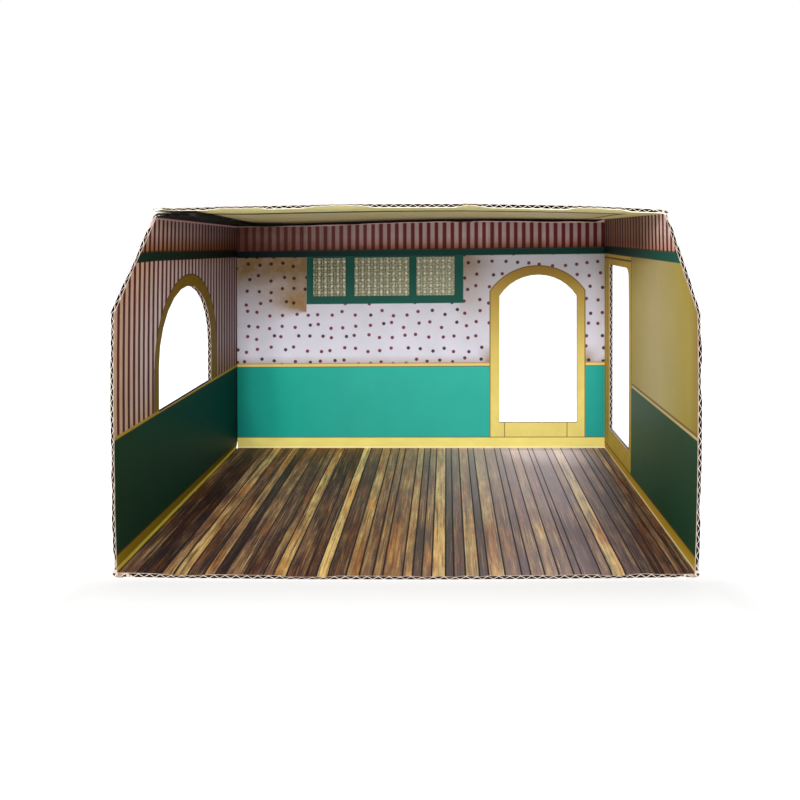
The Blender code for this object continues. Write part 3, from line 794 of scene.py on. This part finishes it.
def copy_of(node, name):
    piece = node.copy()
    piece.data = node.data.copy()
    piece.name = piece.data.name = name
    piece.parent = None
    bpy.context.scene.collection.objects.link(piece)
    work_on(piece)
    bpy.ops.object.mode_set(mode="EDIT")
    bpy.ops.mesh.select_all(action="SELECT")
    bpy.ops.mesh.remove_doubles(threshold=2e-6)
    bpy.ops.mesh.customdata_custom_splitnormals_clear()
    bpy.ops.object.mode_set(mode="OBJECT")
    return piece


def hold(piece, chosen):
    """Takes some faces in hand in edit mode, and hides the rest, so that a cut passes them by."""
    work_on(piece)
    mesh = piece.data
    for items in (mesh.vertices, mesh.edges):
        items.foreach_set("select", [False] * len(items))
    for polygon in mesh.polygons:
        polygon.select = bool(chosen(polygon))
    bpy.ops.object.mode_set(mode="EDIT")
    bpy.ops.mesh.hide(unselected=True)


def let_go():
    bpy.ops.mesh.reveal(select=False)
    bpy.ops.object.mode_set(mode="OBJECT")


def bisect(at, normal):
    """Cuts new edges across the faces in hand, without parting them."""
    bpy.ops.mesh.select_all(action="SELECT")
    bpy.ops.mesh.bisect(plane_co=at, plane_no=normal, clear_inner=False, clear_outer=False)


def cut_columns(piece, chosen, normal, numbers, start):
    """Cuts a column of new edges at every pitch across the faces whose middle is chosen."""
    hold(piece, lambda polygon: chosen(polygon.center))
    for number in numbers:
        bisect(Vector(normal) * (number * COLUMN_PITCH + start), normal)
    let_go()


def slant_normal():
    return Vector((0, CEILING - KNEE, -ROOF_SETBACK)).normalized()


def in_roof(x, z):
    return z > CEILING - 0.004 and abs(x) < HALF - 0.001


def in_floor(z):
    return z < FLOOR_TOP + 0.0006


def in_side_wall(x, z):
    return abs(x) > HALF - 0.0008 and z < CEILING


def in_back_wall(y):
    return BACK - 0.0006 < y < BACK + BOARD + 0.0002


def in_back_wall_top(middle, depth):
    return middle.z > CEILING - depth and in_back_wall(middle.y) and abs(middle.x) < HALF


def behind_edge(point):
    """Metres behind the open front's cut edge, which slants back above the knee."""
    x, y, z = point
    if in_roof(x, z):
        return y - ROOF_FRONT
    return min(y - FRONT, (Vector((0, y - FRONT, z - KNEE))).dot(slant_normal()))


def at_front(middle):
    return -0.001 < behind_edge(middle) < EDGE_DEPTH


def lay_planks(piece):
    """Cuts the floor's print along its planks and the dark seams between them, and marks each."""
    mesh = piece.data
    floor = mesh.materials.find("floor print")
    seams = []
    reach = -HALF * 1000
    for width, _ in PLANKS[:-1]:
        reach += width
        seams.append(reach)
    hold(piece, lambda polygon: polygon.material_index == floor)
    for seam in seams:
        for side in (-SEAM / 2, SEAM / 2):
            bisect(((seam + side) / 1000, 0, 0), (1, 0, 0))
    let_go()
    lightness = mesh.attributes.new("plank_lightness", "FLOAT", "FACE")
    number = mesh.attributes.new("plank_number", "FLOAT", "FACE")
    for polygon in mesh.polygons:
        if polygon.material_index != floor:
            continue
        x = polygon.center.x * 1000
        plank = sum(x > seam for seam in seams)
        on_seam = min(abs(x - seam) for seam in seams) < SEAM / 2
        lightness.data[polygon.index].value = -1.0 if on_seam else PLANKS[plank][1] / LIGHTEST
        number.data[polygon.index].value = plank


def divide_edges(piece):
    """Rows of edges a little behind the open front, and columns along it and along the back wall's top."""
    work_on(piece)
    bpy.ops.object.mode_set(mode="EDIT")
    normal = slant_normal()
    for step in EDGE_ROWS:
        bisect((0, FRONT + step, 0), (0, 1, 0))
        bisect((0, ROOF_FRONT + step, 0), (0, 1, 0))
        bisect(Vector((0, FRONT, KNEE)) + normal * step, normal)
    bpy.ops.object.mode_set(mode="OBJECT")

    def in_floor_or_roof(at):
        return at_front(at) and (at.z < FLOOR_TOP + 0.0004 or at.z > CEILING - 0.002)

    def in_wall(at):
        return at_front(at) and abs(at.x) > HALF - 0.001 and at.z < CEILING

    across, upwards = (1, 0, 0), (0, 0, 1)
    cut_columns(piece, in_floor_or_roof, across, range(-52, 53), 0.0004)
    cut_columns(piece, in_wall, upwards, range(2, 66), 0.0005)
    hold(piece, lambda polygon: in_back_wall_top(polygon.center, WALL_TOP_STRIP + 0.005))
    bisect((0, 0, CEILING - WALL_TOP_STRIP), upwards)
    let_go()
    cut_columns(piece, lambda at: in_back_wall_top(at, WALL_TOP_STRIP), across, range(-52, 53), 0.0011)


def press_marks(along):
    """How far the fluting is pressed at a place along an edge: some stretches open, some pressed."""
    broad = noise.noise(Vector((along * 26.0, 3.1, 0.0)))
    fine = noise.noise(Vector((along * 95.0, 7.7, 0.0)))
    return min(1.0, max(0.0, (broad + 0.5 * fine) * 3.2))


def by_table(at, rows):
    """A value between the rows of a table, which lists a place in millimetres and the value there."""
    return float(np.interp(at * 1000, [row[0] for row in rows], [row[1] for row in rows]))


def slack(y, full_at):
    """1 where a panel bows fully, and 0 at the rear, where the back wall holds it."""
    return (REAR - y) / (REAR - full_at)


def wall_face(y, z):
    """How far a side wall's printed face stands from the room's middle."""
    share = min(1.0, max(0.0, (z - FLOOR_TOP) / ROOM_HEIGHT))
    return HALF + WALL_BOW * 4 * share * (1 - share) * slack(y, FRONT)


def roof_face(x, y):
    """The height of the roof's printed face."""
    share = (x - ROOF_LEFT) / (HALF - ROOF_LEFT)
    bow = ROOF_BOW * 4 * share * (1 - share) * slack(y, ROOF_FRONT)
    lost = ROOF_LOST * max(0.0, 1 - (x - ROOF_LEFT) / ROOF_PRESSED)
    return CEILING + bow + lost - SINK * (1 - share) * (1 - slack(y, ROOF_FRONT))


def mark_depth_through_board(piece):
    """Marks 0 at the printed side of the board and 1 at its outer side, and the places beside a fold."""
    mesh = piece.data
    depth = mesh.attributes.new("through_board", "FLOAT", "POINT")
    fold = mesh.attributes.new("by_fold", "FLOAT", "POINT")
    for vertex in mesh.vertices:
        x, y, z = vertex.co
        fold.data[vertex.index].value = float(z < FLOOR_TOP + 0.005 or z > CEILING - 0.006)
        if in_side_wall(x, z):
            share = (abs(x) - wall_face(y, z)) / BOARD
        elif in_floor(z):
            share = 1 - z / FLOOR_TOP
        elif z > roof_face(x, y) - 0.0002:
            share = (z - roof_face(x, y)) / BOARD
        elif y > BACK - 0.0002:
            share = (y - BACK) / BOARD
        else:
            share = 0.5
        depth.data[vertex.index].value = min(1.0, max(0.0, share))


def press_edges(piece):
    """Presses the board's cut edges here and there, and lets its liners wander a little."""
    for vertex in piece.data.vertices:
        x, y, z = vertex.co
        behind = behind_edge(vertex.co)
        if not -0.001 < behind < 0.012:
            continue
        fade = math.exp(-((max(0.0, behind) / 0.0045) ** 2))
        if in_roof(x, z):
            lift = z - roof_face(x, y)
            if lift > -0.0006:
                uneven = 0.85 + 0.3 * noise.noise(Vector((x * 90.0, 0.0, 2.0)))
                pressed = by_table(x, ROOF_EDGE_PRESSED) * uneven
                vertex.co.z += max(0.0, BOARD - max(0.0, lift)) * pressed * fade
        elif in_floor(z):
            pressed = press_marks(x) * fade
            arch = max(0.0, 1 - (x / HALF) ** 2)
            vertex.co.z -= z * (0.26 * pressed + 0.20 * fade * arch)
        elif in_side_wall(x, z):
            along = z + (2.7 if x > 0 else 5.1)
            outward = abs(x) - wall_face(y, z)
            drift = noise.noise(Vector((along * 40.0, 0.0, 9.0))) * 0.0003 * fade
            flat = 0.26 if x < 0 and z < KNEE else 0.12
            inward = outward * (flat + 0.28 * press_marks(along)) * fade
            vertex.co.x += math.copysign(1.0, x) * (drift - inward)
    piece.data.update()


def bulge_floor_front(piece):
    """The floor's front edge stands out a little in the middle."""
    for vertex in piece.data.vertices:
        x, y, z = vertex.co
        if in_floor(z) and abs(x) < HALF:
            fade = max(0.0, 1 - (y - FRONT) / 0.04)
            vertex.co.y -= 0.003 * fade * fade * (1 - (x / HALF) ** 2)
    piece.data.update()


def wave_back_wall_top(piece):
    """The back wall's free top edge is a little wavy."""
    for vertex in piece.data.vertices:
        x, y, z = vertex.co
        top = CEILING - 0.00212 - SINK * (HALF - x) / (HALF - ROOF_LEFT)
        if in_back_wall(y) and abs(x) < HALF - 0.001 and CEILING - WALL_TOP_STRIP < z < top + 0.0004:
            near_top = max(0.0, 1 - (top - z) / 0.003)
            wave = noise.noise(Vector((x * 38.0, 0.0, 4.0)))
            vertex.co.z -= (0.0002 + 0.0007 * wave) * near_top
    piece.data.update()


def raise_roof(piece):
    """The roof stands a little higher along its front edge and behind its middle, and the back wall's top
    with it. The back wall's upper side edges close against the side walls."""
    for vertex in piece.data.vertices:
        x, y, z = vertex.co
        rearwards = min(1.0, max(0.0, 1 - slack(y, ROOF_FRONT)))
        rear = by_table(x, ROOF_REAR_RAISED) / 1000
        if z > roof_face(x, y) - 0.0045:
            front = by_table(x, ROOF_FRONT_RAISED) / 1000
            vertex.co.z += front * (1 - rearwards) + rear * rearwards
        elif y > BACK - 0.0006:
            vertex.co.z += rear * max(0.0, 1 - (CEILING - z) / 0.030)
        if in_back_wall(y) and CORNER_START < x < HALF - 0.0006 and -0.006 < z - CEILING < -0.0015:
            vertex.co.z += CORNER_RAISED * (x - CORNER_START) / CORNER_WIDTH
        if y > BACK - 0.0006 and HALF - 0.0009 < abs(x) < HALF - 0.0006 and (x > 0 or z > KNEE):
            vertex.co.x = math.copysign(HALF - 0.00004, x)
    piece.data.update()


def select_side(piece, at_height, facing_up):
    """Which faces belong to one side of the sheet: those that its broadest floor face leads to."""
    work_on(piece)
    mesh = piece.data
    for items in (mesh.polygons, mesh.edges, mesh.vertices):
        items.foreach_set("select", [False] * len(items))
    seed = min(
        (p for p in mesh.polygons if (p.normal.z > 0.9) == facing_up and abs(p.normal.z) > 0.9),
        key=lambda p: abs(p.center.z - at_height) * 1000 - p.area * 100,
    )
    seed.select = True
    bpy.ops.object.mode_set(mode="EDIT")
    bpy.ops.mesh.faces_select_linked_flat(sharpness=math.radians(50))
    bpy.ops.object.mode_set(mode="OBJECT")
    return [polygon.select for polygon in mesh.polygons]


def tab_level(middle):
    """Halfway between the glue tab's underside and the roof's over it."""
    leftwards = (HALF - middle.x) / (HALF - ROOF_LEFT)
    rearwards = (middle.y - ROOF_FRONT) / (REAR - ROOF_FRONT)
    return CEILING - 0.0004 - SINK * leftwards * rearwards


def on_tab_edge(middle):
    """Whether a place lies on the cut end of the tab under the roof's left end."""
    beside_wall = -HALF < middle.x < TAB_END and middle.y < BACK - 0.001
    return beside_wall and CEILING - 0.0022 - SINK < middle.z < tab_level(middle) + 0.0012


def on_side_sill(middle):
    """Whether a place lies in the flute that the side doorway's sill opens."""
    return middle.x > HALF and 0.030 < middle.y < 0.099 and abs(middle.z - FLOOR_TOP - 0.024) < 0.0035


def printed_finish(normal, middle):
    """The finish of a face on the sheet's printed side, by the way that it faces."""
    # The faces behind the back wall, seen through the gap under the roof, take the near-black tab finish as
    # painted shade.
    if middle.y > BACK + 0.0025:
        return "tab"
    if normal.z > 0.6:
        return "floor"
    if abs(normal.x) > 0.6:
        return "left" if normal.x > 0 else "right"
    if normal.z < -0.6:
        return "tab" if middle.x < TAB_END and middle.z < tab_level(middle) else "roof"
    return "back"


FINISHES = {
    "cut": ("cut board", 0.85, cut_board, 0.3, 0.3),
    # The fluting's inner faces are painted near black: painted shade in the hollows.
    "fluted": ("fluting in painted shade", 0.9, HOLLOW_PAINTED_SHADE, 0.3),
    "outer": ("outer liner", 0.75, PALE_LINER, 0.25),
    "floor": ("floor print", 0.5, floor_print, 0.3),
    "left": ("left wall print", 0.5, left_wall_print),
    "right": ("right wall print", 0.5, right_wall_print),
    "back": ("back wall print", 0.5, back_wall_print),
    "roof": ("roof print", 0.55, roof_print),
    # Near black: the glue tab, and painted shade in the gap behind the back wall.
    "tab": ("glue tab and painted gap shade", 0.7, dark_tab_and_painted_gap_shade),
}


def paint_faces(piece):
    """Finds the printed side, the outer side and the cut edges, and gives each its finish."""
    mesh = piece.data
    mesh.materials.clear()
    for finish in FINISHES.values():
        mesh.materials.append(make_finish(*finish))
    numbers = {name: number for number, name in enumerate(FINISHES)}
    bpy.context.tool_settings.mesh_select_mode = (False, False, True)
    printed = select_side(piece, FLOOR_TOP, True)
    outer = select_side(piece, 0.0, False)
    skin = {
        corner
        for index, polygon in enumerate(mesh.polygons)
        if printed[index] or outer[index]
        for corner in polygon.vertices
    }
    for index, polygon in enumerate(mesh.polygons):
        normal, middle = polygon.normal, polygon.center
        if printed[index]:
            finish = printed_finish(normal, middle)
        elif outer[index]:
            finish = "outer"
        elif on_tab_edge(middle):
            finish = "tab"
        elif any(corner in skin for corner in polygon.vertices):
            finish = "cut"
        else:
            along_flutes = normal.z if middle.y > BACK - 0.0001 else normal.y
            finish = "cut" if abs(along_flutes) > 0.3 or on_side_sill(middle) else "fluted"
        polygon.material_index = numbers[finish]


def folded_sheet(frame):
    piece = copy_of(frame["nodes"]["folded_sheet"], "printed_sheet")
    paint_faces(piece)
    lay_planks(piece)
    divide_edges(piece)
    mark_depth_through_board(piece)
    press_edges(piece)
    bulge_floor_front(piece)
    wave_back_wall_top(piece)
    raise_roof(piece)
    work_on(piece)
    bpy.ops.object.shade_smooth_by_angle(angle=math.radians(14))
    for polygon in piece.data.polygons:
        if abs(polygon.normal.y) > 0.999:
            polygon.use_smooth = False
    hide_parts("folded_sheet")
    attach(piece, "root")


# Setting


def lay_studio_floor():
    """A white floor that keeps the object's shadow."""
    bpy.ops.mesh.primitive_plane_add(size=12, location=(0, 0, -0.0004))
    floor = bpy.context.object
    floor.name = "studio_floor"
    material, tree, shader = new_material("studio floor", 0.9)
    shader.inputs["Base Color"].default_value = (0.62, 0.62, 0.62, 1)
    shader.inputs["Specular IOR Level"].default_value = 0.0
    shader.inputs["Emission Color"].default_value = (1, 1, 1, 1)
    x, y, _ = parts_of(tree, tree.nodes.new("ShaderNodeTexCoord").outputs["Object"])
    in_front = times(tree, rising(tree, y, -0.05, -0.13), rising(tree, y, -0.75, -0.35))
    beside = rising(tree, magnitude(tree, x), 0.60, 0.25)
    dimmed = times(tree, in_front, beside, STUDIO_GLOW - STUDIO_GLOW_IN_FRONT)
    feed(tree, shader.inputs["Emission Strength"], take(tree, STUDIO_GLOW, dimmed))
    floor.data.materials.append(material)


def light_world():
    """A world that looks white, and gives the object less than half of that light."""
    world = bpy.data.worlds.new("white room")
    bpy.context.scene.world = world
    world.use_nodes = True
    tree = world.node_tree
    tree.nodes.clear()
    rays = tree.nodes.new("ShaderNodeLightPath").outputs
    seen = upper(tree, rays["Is Camera Ray"], upper(tree, rays["Is Glossy Ray"], rays["Is Transmission Ray"]))
    background = tree.nodes.new("ShaderNodeBackground")
    feed(tree, background.inputs["Strength"], rising(tree, seen, -0.85, 1.0))
    background.inputs["Color"].default_value = (1, 1, 1, 1)
    out = tree.nodes.new("ShaderNodeOutputWorld")
    tree.links.new(background.outputs[0], out.inputs[0])


def hang_lamp(name, at, aim, size, power):
    data = bpy.data.lights.new(name, "AREA")
    data.size = size
    data.energy = power
    light = bpy.data.objects.new(name, data)
    light.location = at
    light.rotation_euler = (Vector(aim) - Vector(at)).to_track_quat("-Z", "Y").to_euler()
    bpy.context.scene.collection.objects.link(light)


def set_camera():
    """A level camera, whose place and lens come from the photograph's outlines."""
    data = bpy.data.cameras.new("camera")
    data.sensor_width = 36
    data.lens = 31.21
    data.shift_x = -0.058
    data.shift_y = -0.2108
    eye = bpy.data.objects.new("camera", data)
    eye.location = (CAMERA_ACROSS, FRONT - CAMERA_BEFORE, FLOOR_TOP + CAMERA_OVER)
    eye.rotation_euler = (math.radians(90), 0, 0)
    bpy.context.scene.collection.objects.link(eye)
    bpy.context.scene.camera = eye


def main():
    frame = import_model()
    for make in (make_sheet_place, make_stripes, make_ageing, make_paper_tooth, make_worn_edge):
        make()
    folded_sheet(frame)
    lay_studio_floor()
    light_world()
    hang_lamp("key_lamp", (-0.22, -1.35, 0.85), (0.0, 0.05, 0.08), 0.5, 23)
    hang_lamp("fill_lamp", (0.5, -1.1, 0.35), (0.0, 0.05, 0.10), 0.5, 2)
    hang_lamp("top_lamp", (0.0, 0.42, 1.35), (0.0, -0.06, 0.10), 0.25, 8)
    set_camera()
    bpy.context.scene.view_settings.view_transform = "Standard"


main()
